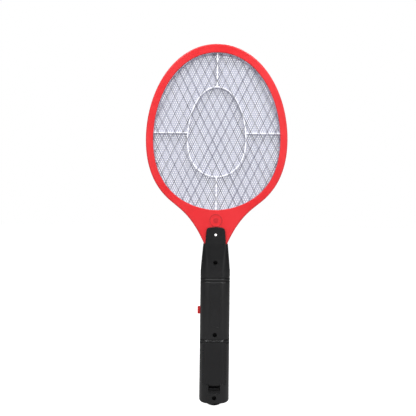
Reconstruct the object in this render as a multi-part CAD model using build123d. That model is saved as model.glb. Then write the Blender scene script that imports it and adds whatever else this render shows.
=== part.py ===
from build123d import *

import os
from math import cos, hypot, pi, radians, sin

# Electric fly swatter: a two-part moulded head with three grids, on a battery handle.
#
# Millimetres. +Z runs up the racket from the hanging lug to the top of the head, +X to the
# right and +Y to the front. The battery door, the screws and the lamp are on the -Y side,
# which is called the rear. Z = 0 is the lowest point of the hanging lug.

# Overall sizes
overall_length = 460.0
head_width = 180.0
head_depth = 14.0
handle_width = 37.8
handle_depth = 30.0

# Head outline
rim_width = 9.4
top_rim_width = 11.0
widest_below_top = 121.5
opening_below_widest = 89.4
upper_fullness = (0.61, 0.51)
lower_fullness = (0.23, 0.88)
flank_start = 0.57
flank_reach = (18.6, 39.6)
neck_half_width = 14.6
neck_slope = radians(24.0)
stub_length = 30.0
stub_half_width = 12.6

# Head walls and seats
head_edge_radius = 2.0
opening_edge_radius = 0.8
lip_thickness = 1.6
seat_width = 4.2
neck_wall = 2.0
cavity_flare = 15.0
cavity_height = 33.0
seat_wall = 2.4
tab_notch_half_width = 15.5

# Grids
outer_grid_thickness = 0.5
center_grid_thickness = 0.6
mesh_margin = 0.8
outer_cell = (10.7, 21.5)
center_cell = (8.4, 16.8)
outer_strand = 1.0
center_strand = 0.8
grid_tab_width = 6.0
grid_tab_length = 8.0
outer_tab_offset = 11.0
smallest_hole_area = 2.0

# Spacers between the grids
spacer_inset = 0.7
spacer_line = 1.6
oval_half_width = 37.9
oval_above_widest = 68.0
oval_below_widest = 48.0
spoke_above_widest = 8.5

# Emblem on the neck, as shares of the room between the tongue and the opening
emblem_place = 0.39
emblem_share = 0.38
emblem_disc_share = 0.15
emblem_line = 0.9
emblem_height = 0.4

# Handle shells
wall = 2.2
section_radius = 12.0
taper_length = 34.0
taper_mid = 16.0
mid_half_width = 17.4
mid_inset = 2.0
mid_radius = 8.5
stub_gap = (0.9, 0.2)
top_radius = 3.6
end_height = 6.4
end_radius = 3.0
groove_width = 1.5
groove_depth = 0.9
groove_pitch = 4.0
groove_below_bay_top = 5.8
groove_below_handle_top = 46.1
tongue_length = 21.6
tongue_step = 0.1
tongue_top_half_width = 11.5
tongue_base_half_width = 13.3
tongue_corner = 4.5
tongue_crown = 1.2
tongue_edge = 0.8
tongue_overlap = 3.0
panel_width = 12.5
panel_above_groove = 19.1
panel_below_groove = 4.9
panel_corner = 3.0
panel_depth = 0.5

# Hanging lug
lug_half_width = 9.5
lug_rise = 3.1
lug_base_half_width = 11.0
lug_half_thickness = 2.6
lug_hole_height = 4.2
lug_hole_radius = 2.0

# Case screws
end_screw_height = 13.8
screw_above_groove = 10.0
screw_above_stub = 7.1
screw_inset = 5.0
neck_screw_inset = 4.6
screw_shaft_radius = 1.3
screw_head_radius = 2.5
screw_head_height = 1.8
screw_reach = 9.0
boss_radius = 4.2
boss_gap = 0.05
screw_recess_radius = 2.75
pilot_clearance = 0.05
cross_slot = (0.8, 3.0, 0.9)

# Fits
running_gap = 0.1
loose_gap = 0.2
door_gap = 0.25
cut = 1.0

# Batteries
cell_radius = 7.25
cell_length = 49.5
nub_radius = 2.75
nub_height = 1.0
cell_gap = 0.7
cell_to_door = 1.25
spring_length = 5.0
spring_radius = 3.6
spring_wire = 0.4
spring_turns = 3.0
plate_thickness = 0.4
plate_half_width = 6.4
plate_span = (4.9, 7.7)
bay_floor = 32.4
rib_thickness = 1.4
cradle_gap = 0.3
cradle_rib = 1.6
cradle_shares = (0.25, 0.75)

# Battery door and its latch
door_width = 28.4
door_below_bay = 1.4
door_below_bay_top = 5.4
door_wall = 2.0
door_cut_inset = 6.5
tab_half_width = 2.5
tab_reach = 2.6
tab_thickness = 1.4
latch_half_width = 6.5
latch_drop = (0.2, 6.6)
latch_leaf = 1.2
latch_inset = 8.2
latch_lip_inset = 1.2
pocket_half_width = 7.25
pocket_drop = 12.2
pocket_inset = 8.6
pocket_wall = 1.2
pocket_rib = 1.0
pocket_rib_spacing = 3.6
pocket_rib_depth = 0.7
ramp_room = 1.4
ramp_depths = (0.7, 2.6)

# Button and switch
button_above_board = 17.4
button_size = (5.2, 9.1)
button_proud = 3.3
button_corner = 1.0
flange_extra = 1.6
flange_thickness = 1.0
flange_gap = 0.3
stem_side = 2.4
stem_length = 2.0
switch_size = (7.0, 6.2, 7.0)
switch_bore_rest = 2.5
plunger_inside = 3.6
plunger_outside = 2.4

# Circuit board
board_half_width = 13.0
board_above_bay = 15.3
board_length = 66.0
neck_above_board = 6.0
board_thickness = 1.6
board_back = 3.0
post_radius = 2.6
post_places = ((5.5, 3.0), (0.0, 60.5))
board_screw_radius = 0.95
board_screw_head = (1.9, 1.2)
board_screw_length = 7.0

# Electronic parts, placed from the middle of the board's lower edge
core_size = (15.0, 11.0, 12.0)
core_place = (2.0, 48.0)
core_leg = 3.0
winding_gap = 0.2
winding_proud = 1.0
capacitor_size = (14.0, 6.0, 10.0)
capacitor_place = (4.5, 30.5)
capacitor_edge = 0.8
transistor_radius = 2.3
transistor_length = 4.8
transistor_place = (-8.0, 32.0)
transistor_flat = 1.4
diode_radius = 1.35
diode_length = 5.0
diode_places = ((4.0, 20.0), (4.0, 15.5), (4.0, 11.0))
resistor_radius = 1.1
resistor_length = 6.2
resistor_places = ((-2.2, 8.1), (-2.2, 5.4))
axial_lead_radius = 0.3
axial_lead_inside = 0.5
axial_lead_out = 2.4
axial_foot_radius = 0.36

# Lamp
lamp_above_handle = 11.7
lamp_radius = 1.5
lamp_nose_share = 0.9
lamp_flange_radius = 1.95
lamp_flange = 1.0
lamp_proud = 0.3
lamp_length = 5.3
lamp_lead_radius = 0.3
lamp_lead_spread = 1.27

# Leads
lead_radius = 0.6
lead_hole_radius = 0.9
lead_offset = 9.0
lead_bend = 3.0
lead_run = 6.0
lead_splay = 8.0
hot_lead_depth = 0.5
outer_lead_depth = 2.2
lamp_lead_depth = 1.2
lamp_lead_bend = 0.9
lead_board_end = 3.0

# Derived places
head_half_depth = head_depth / 2
handle_half_width = handle_width / 2
handle_half_depth = handle_depth / 2
inner_half_depth = handle_half_depth - wall
cell_spacing = 2 * cell_radius + cell_gap
cell_depth = cell_radius + cell_to_door + door_wall - handle_half_depth
plate_rear = cell_depth - plate_span[0]
plate_front = cell_depth + plate_span[1]
bay_top = bay_floor + 2 * plate_thickness + spring_length + cell_length + nub_height
board_low = bay_top + board_above_bay
board_high = board_low + board_length
stub_low = board_high + neck_above_board
handle_length = stub_low + stub_length
lower_groove_height = bay_top - groove_below_bay_top
upper_groove_height = handle_length - groove_below_handle_top
panel_low = lower_groove_height + panel_above_groove
panel_high = upper_groove_height - panel_below_groove
top_half_width = stub_half_width + stub_gap[0] + wall
top_half_depth = head_half_depth + stub_gap[1] + wall
mid_half_depth = handle_half_depth - mid_inset
tongue_half_depth = top_half_depth + tongue_step
screw_heights = (
    end_screw_height,
    lower_groove_height + screw_above_groove,
    stub_low + screw_above_stub,
)
screw_seat = (
    handle_half_depth - screw_inset,
    handle_half_depth - screw_inset,
    mid_half_depth - neck_screw_inset,
)
door_low = bay_floor - door_below_bay
door_high = bay_top - door_below_bay_top
door_cut_depth = handle_half_depth - door_cut_inset
latch_high = door_low - latch_drop[0]
latch_low = door_low - latch_drop[1]
latch_deep = handle_half_depth - latch_inset
pocket_low = door_low - pocket_drop
pocket_floor = handle_half_depth - pocket_inset
button_height = board_low + button_above_board
lamp_height = handle_length + lamp_above_handle
opening_half_width = head_width / 2 - rim_width
widest_height = overall_length - widest_below_top
opening_above_widest = widest_below_top - top_rim_width
opening_bottom = widest_height - opening_below_widest
lip_back = head_half_depth - lip_thickness
center_grid_half = center_grid_thickness / 2
outer_grid_back = lip_back - outer_grid_thickness
seat_bottom = opening_bottom - seat_width
tongue_top = handle_length + tongue_length
neck_room = opening_bottom - tongue_top
button_face = handle_half_width + button_proud
flange_face = handle_half_width - wall - flange_gap
flange_back = flange_face - flange_thickness
stem_end = flange_back - stem_length
switch_face = stem_end - plunger_outside
board_front = board_back + board_thickness
parts = {}


def xz(x, z):
    return Vector(x, 0, z)


def slab(face, low, high):
    """A face in the XZ plane, extruded from y = low to y = high."""
    return extrude(face.moved(Location((0, low, 0))), amount=high - low, dir=(0, 1, 0))


def block(x, y, z):
    """A box from its (low, high) ranges."""
    size = (x[1] - x[0], y[1] - y[0], z[1] - z[0])
    middle = ((x[0] + x[1]) / 2, (y[0] + y[1]) / 2, (z[0] + z[1]) / 2)
    return Pos(*middle) * Box(*size)


def rod_y(x, z, radius, low, high):
    """A round rod along Y."""
    middle = (x, (low + high) / 2, z)
    return Pos(*middle) * Rot(90, 0, 0) * Cylinder(radius, high - low)


def rod_x(y, z, radius, low, high):
    """A round rod along X."""
    middle = ((low + high) / 2, y, z)
    return Pos(*middle) * Rot(0, 90, 0) * Cylinder(radius, high - low)


def to_rear(shape):
    return mirror(shape, about=Plane.XZ)


def outline_face(right_edges):
    """A face from the edges of its right half, from the top to the bottom, and their mirror."""
    right = [edge.edges()[0] for edge in right_edges]
    left = [edge.mirror(Plane.YZ) for edge in right]
    return Face(Wire([*right, *left]))


# Head ------------------------------------------------------------------------


def upper_quarter(half_width, rise):
    top = widest_height + rise
    return Bezier(
        xz(0, top),
        xz(upper_fullness[0] * half_width, top),
        xz(half_width, widest_height + upper_fullness[1] * rise),
        xz(half_width, widest_height),
    )


def lower_quarter(half_width, drop):
    low = widest_height - drop
    return Bezier(
        xz(half_width, widest_height),
        xz(half_width, widest_height - lower_fullness[1] * drop),
        xz(lower_fullness[0] * half_width, low),
        xz(0, low),
    )


def egg(grow):
    """The opening's outline, grown outwards by a margin."""
    half_width = opening_half_width + grow
    upper = upper_quarter(half_width, opening_above_widest + grow)
    lower = lower_quarter(half_width, opening_below_widest + grow)
    return outline_face([upper, lower])


def oval(grow):
    """The oval in the middle of a spacer, grown outwards by a margin."""
    half_width = oval_half_width + grow
    upper = upper_quarter(half_width, oval_above_widest + grow)
    lower = lower_quarter(half_width, oval_below_widest + grow)
    return outline_face([upper, lower])


def head_outline():
    """Egg, flanks that sweep in to the neck, and the stub inside the handle."""
    half_width = opening_half_width + rim_width
    upper = upper_quarter(half_width, widest_below_top)
    whole_lower = lower_quarter(half_width, opening_below_widest + rim_width)
    lower = whole_lower.trim(0, flank_start)
    start = lower @ 1
    corner = xz(neck_half_width, handle_length)
    along_neck = xz(sin(neck_slope), cos(neck_slope))
    flank = Bezier(
        start,
        start + (lower % 1) * flank_reach[0],
        corner + along_neck * flank_reach[1],
        corner,
    )
    shoulder = Line(corner, xz(stub_half_width, handle_length))
    side = Line(xz(stub_half_width, handle_length), xz(stub_half_width, stub_low))
    bottom = Line(xz(stub_half_width, stub_low), xz(0, stub_low))
    return outline_face([upper, lower, flank, shoulder, side, bottom])


def neck_cavity():
    """The hollow behind the neck's face, open at the end of the stub."""
    inner = stub_half_width - neck_wall
    top = seat_bottom - seat_wall
    flared = inner + cavity_flare
    points = [
        xz(0, top),
        xz(flared, top),
        xz(inner, top - cavity_height),
        xz(inner, stub_low - cut),
        xz(0, stub_low - cut),
    ]
    edges = [Line(a, b) for a, b in zip(points, points[1:])]
    return outline_face(edges)


def head_half():
    """The front half of the head. The rear one is its mirror image."""
    body = slab(head_outline(), 0, head_half_depth)
    face_edges = body.faces().sort_by(Axis.Y)[-1].edges()
    body = fillet(face_edges, head_edge_radius)
    body -= slab(egg(0), -cut, head_half_depth + cut)
    inner_edges = body.faces().sort_by(Axis.Y)[-1].inner_wires()[0].edges()
    body = fillet(inner_edges, opening_edge_radius)
    body -= slab(egg(seat_width), -cut, lip_back)
    body -= slab(neck_cavity(), -cut, lip_back)
    notch_x = (-tab_notch_half_width, tab_notch_half_width)
    body -= block(notch_x, (-cut, lip_back), (seat_bottom - seat_wall - cut, seat_bottom + 2 * cut))
    hole = boss_radius + loose_gap
    body -= rod_y(0, screw_heights[2], hole, -cut, head_half_depth + cut)
    return body


def emblem():
    """A plain raised ring and disc."""
    height = tongue_top + emblem_place * neck_room
    radius = emblem_share * neck_room
    low = head_half_depth - emblem_height
    high = head_half_depth + emblem_height
    ring = rod_y(0, height, radius, low, high)
    ring -= rod_y(0, height, radius - emblem_line, low - cut, high + cut)
    return ring + rod_y(0, height, emblem_disc_share * neck_room, low, high)


def head_frames():
    parts["head_frame_front"] = head_half()
    lamp_hole = rod_y(0, lamp_height, lamp_radius + running_gap, 0, head_half_depth + cut)
    parts["head_frame_rear"] = to_rear(head_half() + emblem() - lamp_hole)


# Grids -----------------------------------------------------------------------


def diamond(x, z, half_width, half_height):
    points = [
        xz(x + half_width, z),
        xz(x, z + half_height),
        xz(x - half_width, z),
        xz(x, z - half_height),
    ]
    return Face(Wire.make_polygon(points, close=True))


def mesh_holes(cell, strand, field):
    """The openings of an expanded mesh, clipped to a field."""
    half = (cell[0] / 2, cell[1] / 2)
    reach = half[0] * half[1] / hypot(*half)
    shrink = 1 - strand / 2 / reach
    rows = int(head_width / half[1]) + 2
    columns = int(head_width / half[0] / 2) + 1
    holes = []
    for row in range(-rows, rows + 1):
        for column in range(-columns, columns + 1):
            if (row + column) % 2:
                continue
            place = (column * half[0], widest_height + row * half[1])
            hole = diamond(*place, half[0] * shrink, half[1] * shrink)
            holes.extend(clip(hole, field))
    return holes


def clip(hole, field):
    """The wires of a hole that lie in the field: whole, cut by its edge, or none."""
    inside = [field.is_inside(corner.center()) for corner in hole.vertices()]
    if all(inside):
        return [hole.outer_wire()]
    if not any(inside):
        return []
    cut = (hole & field).faces()
    return [face.outer_wire() for face in cut if face.area > smallest_hole_area]


def grid(cell, strand, tab_offset, low, high):
    """An expanded-metal grid with a plain edge and a solder tab."""
    tab_x = (tab_offset - grid_tab_width / 2, tab_offset + grid_tab_width / 2)
    plate = slab(egg(seat_width - loose_gap), low, high)
    plate += block(tab_x, (low, high), (seat_bottom - grid_tab_length, seat_bottom + 2 * cut))
    border = plate.faces().sort_by(Axis.Y)[0].outer_wire()
    border = border.moved(Location((0, -low, 0)))
    holes = mesh_holes(cell, strand, egg(mesh_margin))
    return slab(Face(border, holes), low, high)


def grids():
    front = (outer_grid_back, lip_back)
    rear = (-lip_back, -outer_grid_back)
    middle = (-center_grid_half, center_grid_half)
    parts["outer_grid_front"] = grid(outer_cell, outer_strand, outer_tab_offset, *front)
    parts["outer_grid_rear"] = grid(outer_cell, outer_strand, -outer_tab_offset, *rear)
    parts["center_grid"] = grid(center_cell, center_strand, 0, *middle)


def spacer():
    """The front spacer: a ring under the rim, four spokes and an oval."""
    low, high = center_grid_half, outer_grid_back
    half_line = spacer_line / 2
    spoke_height = widest_height + spoke_above_widest
    reach = opening_half_width + mesh_margin
    level = (spoke_height - half_line, spoke_height + half_line)
    spokes = block((-reach, reach), (low, high), level)
    head = widest_height + opening_above_widest + mesh_margin
    spokes += block((-half_line, half_line), (low, high), (opening_bottom - mesh_margin, head))
    ring = slab(egg(seat_width - loose_gap), low, high) - slab(egg(spacer_inset), low - cut, high + cut)
    middle = slab(oval(0), low, high) - slab(oval(-spacer_line), low - cut, high + cut)
    spokes -= slab(oval(-half_line), low - cut, high + cut)
    return ring + middle + spokes


def spacers():
    parts["grid_spacer_front"] = spacer()
    parts["grid_spacer_rear"] = to_rear(spacer())


# Handle ----------------------------------------------------------------------


def half_section(half_width, half_depth, radius, height):
    """Half of the handle's section, from the seam at y = 0 to its flat face."""
    bend = radius * (1 - cos(pi / 4))
    right = [
        Vector(half_width, 0, height),
        Vector(half_width, half_depth - radius, height),
        Vector(half_width - bend, half_depth - bend, height),
        Vector(half_width - radius, half_depth, height),
    ]
    left = [Vector(-p.X, p.Y, p.Z) for p in right]
    edges = [
        Line(left[0], right[0]),
        Line(right[0], right[1]),
        ThreePointArc(right[1], right[2], right[3]),
        Line(right[3], left[3]),
        ThreePointArc(left[3], left[2], left[1]),
        Line(left[1], left[0]),
    ]
    return Face(Wire(edges))


def handle_section(inset, height):
    return half_section(
        handle_half_width - inset, handle_half_depth - inset, section_radius - inset, height
    )


def prism(inset, low, high):
    """The straight part of the handle, inset from its skin."""
    return extrude(handle_section(inset, low), amount=high - low, dir=(0, 0, 1))


def taper(inset, rise):
    """The part that narrows to the neck, inset from its skin. It runs on by a rise."""
    low = handle_length - taper_length
    mid_size = (mid_half_width - inset, mid_half_depth - inset, mid_radius - inset)
    top_size = (top_half_width - inset, top_half_depth - inset, top_radius - inset)
    middle = half_section(*mid_size, low + taper_mid)
    top = half_section(*top_size, handle_length)
    body = loft([handle_section(inset, low), middle, top])
    if rise:
        body += extrude(top, amount=rise, dir=(0, 0, 1))
    return body


def tongue():
    """The flat tongue that lies on the head's neck."""
    base = handle_length - tongue_overlap
    brow = tongue_top - tongue_crown
    left_brow = xz(-tongue_top_half_width, brow)
    right_brow = xz(tongue_top_half_width, brow)
    left_foot = xz(-tongue_base_half_width, base)
    right_foot = xz(tongue_base_half_width, base)
    edges = [
        ThreePointArc(left_brow, xz(0, tongue_top), right_brow),
        Line(right_brow, right_foot),
        Line(right_foot, left_foot),
        Line(left_foot, left_brow),
    ]
    body = slab(Face(Wire(edges)), head_half_depth + running_gap, tongue_half_depth)
    corners = body.edges().filter_by(Axis.Y).sort_by(Axis.Z)[-2:]
    body = fillet(corners, tongue_corner)
    rim = [e for e in body.faces().sort_by(Axis.Y)[-1].edges() if e.center().Z > base + cut]
    return fillet(rim, tongue_edge)


def hanging_lug():
    """Half of the lug under the handle's end, before its hole is cut."""
    left = xz(-lug_half_width, lug_rise)
    right = xz(lug_half_width, lug_rise)
    left_base = xz(-lug_base_half_width, end_height)
    right_base = xz(lug_base_half_width, end_height)
    edges = [
        ThreePointArc(left, xz(0, 0), right),
        Line(right, right_base),
        Line(right_base, left_base),
        Line(left_base, left),
    ]
    root_x = (-lug_base_half_width, lug_base_half_width)
    root = block(root_x, (0, lug_half_thickness), (end_height, end_height + wall))
    return root + slab(Face(Wire(edges)), 0, lug_half_thickness)


def grooves():
    """The rings cut round the handle, two pairs."""
    span = (-handle_width, handle_width)
    rings = []
    for height in (lower_groove_height, upper_groove_height):
        for low in (height - groove_width / 2, height + groove_pitch - groove_width / 2):
            ring = block(span, (-cut, handle_depth), (low, low + groove_width))
            rings.append(ring - prism(groove_depth, low - cut, low + groove_width + cut))
    return rings


def skin():
    """A solid half handle with its end rounded."""
    low = handle_length - taper_length
    straight = prism(0, end_height, low)
    end_edges = straight.faces().sort_by(Axis.Z)[0].edges().filter_by(lambda e: e.center().Y > 0.01)
    return fillet(end_edges, end_radius) + taper(0, 0)


def hollow():
    """The space inside a half handle, open towards the neck."""
    low = handle_length - taper_length
    return prism(wall, end_height + wall, low) + taper(wall, cut)


def bay_ribs():
    """The two walls that close the battery bay, for either shell."""
    lower = prism(wall, bay_floor - rib_thickness, bay_floor)
    upper = prism(wall, bay_top, bay_top + rib_thickness)
    return lower + upper


def bare_shell():
    shell = skin() - hollow() + bay_ribs()
    for ring in grooves():
        shell -= ring
    return shell + tongue() + hanging_lug()


def boss(height, depth):
    return rod_y(0, height, boss_radius, boss_gap, depth)


def boss_depths():
    into_wall = inner_half_depth + wall / 2
    return (into_wall, into_wall, mid_half_depth - wall / 2)


def button_window():
    half_deep = button_size[0] / 2 + door_gap
    half_tall = button_size[1] / 2 + door_gap
    x = (-handle_half_width - cut, -handle_half_width + wall + cut)
    return block(x, (-cut, half_deep), (button_height - half_tall, button_height + half_tall))


def lead_holes():
    """Holes in the upper bay wall for the battery leads."""
    depth = board_back - lead_hole_radius
    hole = Pos(lead_offset, depth, bay_top) * Cylinder(lead_hole_radius, 4 * rib_thickness)
    return hole + mirror(hole, about=Plane.YZ)


def cradle():
    """Two ribs that carry the cells in the front shell."""
    ribs = []
    for share in cradle_shares:
        height = bay_floor + share * (bay_top - bay_floor)
        ribs.append(prism(wall, height - cradle_rib / 2, height + cradle_rib / 2))
    seat = cell_radius + cradle_gap
    for side in (-1, 1):
        hollow_for_cell = Pos(side * cell_spacing / 2, cell_depth, (bay_floor + bay_top) / 2)
        ribs = [rib - hollow_for_cell * Cylinder(seat, bay_top - bay_floor) for rib in ribs]
    clear = block((-handle_width, handle_width), (-cut, cut), (bay_floor, bay_top))
    return [rib - clear for rib in ribs]


def front_shell():
    shell = bare_shell()
    for height, depth in zip(screw_heights, boss_depths()):
        shell += boss(height, depth)
        shell -= rod_y(0, height, screw_shaft_radius + pilot_clearance, -cut, screw_reach + cut / 2)
    for rib in cradle():
        shell += rib
    pilot = board_screw_radius + pilot_clearance
    for x, rise in post_places:
        shell += rod_y(x, board_low + rise, post_radius, board_front, inner_half_depth + wall / 2)
        shell -= rod_y(x, board_low + rise, pilot, board_front - cut, board_back + board_screw_length + cut)
    shell -= button_window()
    shell -= lead_holes()
    return shell - rod_y(0, lug_hole_height, lug_hole_radius, -cut, handle_half_depth)


def latch_pocket():
    """The walls of the recess that the latch sits in."""
    half = pocket_half_width + pocket_wall
    deep = pocket_floor - pocket_wall
    return block((-half, half), (deep, inner_half_depth + wall / 4), (pocket_low - pocket_wall, door_low))


def latch_space():
    x = (-pocket_half_width, pocket_half_width)
    return block(x, (pocket_floor, handle_depth), (pocket_low, door_low + boss_gap))


def pocket_ramp():
    """The floor below the latch, which rises to the surface, and its three grip ribs."""
    low = pocket_low - pocket_wall / 2
    high = latch_low - ramp_room
    back = pocket_floor - pocket_wall / 2
    points = [
        (-pocket_half_width, back, low),
        (-pocket_half_width, handle_half_depth - ramp_depths[0], low),
        (-pocket_half_width, handle_half_depth - ramp_depths[1], high),
        (-pocket_half_width, back, high),
    ]
    side = make_face(Polyline(*points, close=True))
    ramp = extrude(side, amount=2 * pocket_half_width, dir=(1, 0, 0))
    for step in (-1, 0, 1):
        middle = step * pocket_rib_spacing
        x = (middle - pocket_rib / 2, middle + pocket_rib / 2)
        ramp += block(x, (back, handle_half_depth - pocket_rib_depth), (low, high))
    return ramp


def door_opening():
    half = door_width / 2 + door_gap
    z = (door_low - door_gap, door_high + door_gap)
    return block((-half, half), (door_cut_depth, handle_depth), z)


def grip_panel():
    middle = xz(0, (panel_low + panel_high) / 2)
    size = (panel_width, panel_high - panel_low)
    face = Plane.XZ * RectangleRounded(*size, panel_corner)
    face = face.moved(Location(middle))
    return slab(face, handle_half_depth - panel_depth, handle_depth)


def rear_shell():
    """Built facing +Y, then turned to the rear."""
    shell = skin() - hollow() - door_opening() + bay_ribs() + latch_pocket()
    for ring in grooves():
        shell -= ring
    shell = shell + tongue() + hanging_lug()
    for height, depth, seat in zip(screw_heights, boss_depths(), screw_seat):
        shell += boss(height, depth)
        shell -= rod_y(0, height, screw_recess_radius, seat, handle_depth)
        shell -= rod_y(0, height, screw_shaft_radius + running_gap, -cut, seat + cut)
    shell -= latch_space()
    shell += pocket_ramp()
    shell -= button_window()
    shell -= grip_panel()
    shell -= rod_y(0, lamp_height, lamp_radius + running_gap, 0, handle_depth)
    shell -= rod_y(0, lug_hole_height, lug_hole_radius, -cut, handle_half_depth)
    return to_rear(shell)


def handle_shells():
    parts["handle_front_shell"] = front_shell()
    parts["handle_rear_shell"] = rear_shell()


def case_screw(height, seat):
    """A cross-head screw in from the rear, built facing +Y."""
    head = rod_y(0, height, screw_head_radius, seat, seat + screw_head_height)
    head = fillet(head.edges().sort_by(Axis.Y)[-1:], screw_head_height / 3)
    width, length, deep = cross_slot
    top = seat + screw_head_height
    for across, up in ((width, length), (length, width)):
        x = (-across / 2, across / 2)
        head -= block(x, (top - deep, top + cut), (height - up / 2, height + up / 2))
    return head + rod_y(0, height, screw_shaft_radius, -screw_reach, seat)


def case_screws():
    screws = [case_screw(h, s) for h, s in zip(screw_heights, screw_seat)]
    parts["case_screws"] = to_rear(Compound(children=screws))


# Battery door ----------------------------------------------------------------


def battery_door():
    """The door with its hooked tab and latch, built facing +Y."""
    half = door_width / 2
    plate = prism(0, door_low, door_high) - prism(door_wall, door_low - cut, door_high + cut)
    plate &= block((-half, half), (door_cut_depth, handle_depth), (door_low, door_high))
    inner = handle_half_depth - door_wall
    x = (-latch_half_width, latch_half_width)
    plate += block(x, (inner, handle_half_depth), (latch_high - latch_leaf, door_low))
    plate += block(x, (latch_deep, inner), (latch_high - latch_leaf, latch_high))
    plate += block(x, (latch_deep, latch_deep + latch_leaf), (latch_low, latch_high))
    lip = handle_half_depth - latch_lip_inset
    plate += block(x, (latch_deep, lip), (latch_low, latch_low + latch_leaf))
    hook_x = (-tab_half_width, tab_half_width)
    hook_y = (inner - loose_gap - tab_thickness, inner - loose_gap)
    plate += block(hook_x, hook_y, (door_high - tab_reach, door_high + tab_reach))
    plate += block(hook_x, (inner - loose_gap, inner), (door_high - tab_reach, door_high))
    return to_rear(plate)


# Battery bay -----------------------------------------------------------------


def cell(x, low, nub_up):
    can_low = low if nub_up else low + nub_height
    can = Pos(x, cell_depth, can_low + cell_length / 2) * Cylinder(cell_radius, cell_length)
    nub_low = can_low + cell_length if nub_up else low
    return can + Pos(x, cell_depth, nub_low + nub_height / 2) * Cylinder(nub_radius, nub_height)


def coil_spring(x, low):
    """A cell's contact spring, squeezed to its working length."""
    height = spring_length - 2 * spring_wire
    line = Helix(height / spring_turns, height, spring_radius)
    profile = Plane(line @ 0, z_dir=line % 0) * Circle(spring_wire)
    coil = sweep(profile, path=line)
    return Pos(x, cell_depth, low + spring_wire) * coil


def batteries():
    left, right = -cell_spacing / 2, cell_spacing / 2
    low = bay_floor + plate_thickness
    full = cell_length + nub_height
    parts["battery_cell_left"] = cell(left, low + spring_length, True)
    parts["battery_cell_right"] = cell(right, low, False)
    parts["contact_spring_left"] = coil_spring(left, low)
    parts["contact_spring_right"] = coil_spring(right, low + full)
    span = right + plate_half_width
    y = (plate_rear, plate_front)
    parts["series_bridge"] = block((-span, span), (plate_rear, 0), (bay_floor, low))
    top = (bay_top - plate_thickness, bay_top)
    parts["positive_plate"] = block((left - plate_half_width, left + plate_half_width), y, top)
    parts["negative_plate"] = block((right - plate_half_width, right + plate_half_width), y, top)


# Button and switch -----------------------------------------------------------


def power_button():
    deep, tall = button_size
    y = (-deep / 2, deep / 2)
    z = (button_height - tall / 2, button_height + tall / 2)
    cap = block((-button_face, -flange_back), y, z)
    cap = fillet(cap.faces().sort_by(Axis.X)[0].edges(), button_corner)
    flange_y = (y[0] - flange_extra, y[1] + flange_extra)
    flange_z = (z[0] - flange_extra, z[1] + flange_extra)
    cap += block((-flange_face, -flange_back), flange_y, flange_z)
    half = stem_side / 2
    stem = block((-flange_back, -stem_end), (-half, half), (button_height - half, button_height + half))
    return cap + stem


def push_switch():
    long, deep, tall = switch_size
    body = block(
        (-switch_face, -switch_face + long),
        (board_back - deep, board_back),
        (button_height - tall / 2, button_height + tall / 2),
    )
    bore = stem_side / 2 + running_gap
    x = (-switch_face - cut, -switch_face + plunger_inside + switch_bore_rest)
    return body - block(x, (-bore, bore), (button_height - bore, button_height + bore))


def switch_plunger():
    half = stem_side / 2
    x = (-stem_end, -switch_face + plunger_inside)
    return block(x, (-half, half), (button_height - half, button_height + half))


def controls():
    parts["power_button"] = power_button()
    parts["push_switch_body"] = push_switch()
    parts["push_switch_plunger"] = switch_plunger()


# Circuit board ---------------------------------------------------------------


def circuit_board():
    x = (-board_half_width, board_half_width)
    board = block(x, (board_back, board_front), (board_low, board_high))
    for x, rise in post_places:
        hole = board_screw_radius + running_gap
        board -= rod_y(x, board_low + rise, hole, board_back - cut, board_front + cut)
    return board


def board_screw(x, rise):
    z = board_low + rise
    radius, height = board_screw_head
    head = rod_y(x, z, radius, board_back - height, board_back)
    return head + rod_y(x, z, board_screw_radius, board_back, board_back + board_screw_length)


def transformer():
    """A ferrite core with two windows, and the winding on its middle leg."""
    wide, deep, tall = core_size
    x = core_place[0]
    z = board_low + core_place[1]
    core_x = (x - wide / 2, x + wide / 2)
    core_z = (z - tall / 2, z + tall / 2)
    core = block(core_x, (board_back - deep, board_back), core_z)
    window_z = (core_z[0] + core_leg, core_z[1] - core_leg)
    through = (board_back - deep - cut, board_back + cut)
    half_leg = core_leg / 2
    core -= block((core_x[0] + core_leg, x - half_leg), through, window_z)
    core -= block((x + half_leg, core_x[1] - core_leg), through, window_z)
    coil_x = (core_x[0] + core_leg + winding_gap, core_x[1] - core_leg - winding_gap)
    coil_y = (board_back - deep - winding_proud, board_back)
    coil_z = (window_z[0] + winding_gap, window_z[1] - winding_gap)
    leg = half_leg + winding_gap
    coil = block(coil_x, coil_y, coil_z)
    coil -= block((x - leg, x + leg), (board_back - deep, board_back + cut), core_z)
    return core, coil


def axial_part(x, rise, radius, length):
    """A diode or resistor that lies on the board, with its two leads."""
    y = board_back - radius
    z = board_low + rise
    half = length / 2
    body = rod_x(y, z, radius, x - half, x + half)
    for side in (-1, 1):
        foot = x + side * (half + axial_lead_out)
        out = sorted((x + side * (half - axial_lead_inside), foot))
        body += rod_x(y, z, axial_lead_radius, *out)
        body += rod_y(foot, z, axial_foot_radius, y - axial_foot_radius, board_back)
    return body


def transistor():
    """A round-backed body with one flat face."""
    x = transistor_place[0]
    z = board_low + transistor_place[1]
    reach = 2 * transistor_radius
    body = Pos(x, board_back - transistor_radius, z) * Cylinder(transistor_radius, transistor_length)
    flat = board_back - transistor_radius - transistor_flat
    return body - block((x - reach, x + reach), (flat - reach, flat), (z - reach, z + reach))


def capacitor():
    wide, deep, tall = capacitor_size
    x = capacitor_place[0]
    z = board_low + capacitor_place[1]
    y = (board_back - deep, board_back)
    body = block((x - wide / 2, x + wide / 2), y, (z - tall / 2, z + tall / 2))
    return fillet(body.faces().sort_by(Axis.Y)[0].edges(), capacitor_edge)


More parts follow.
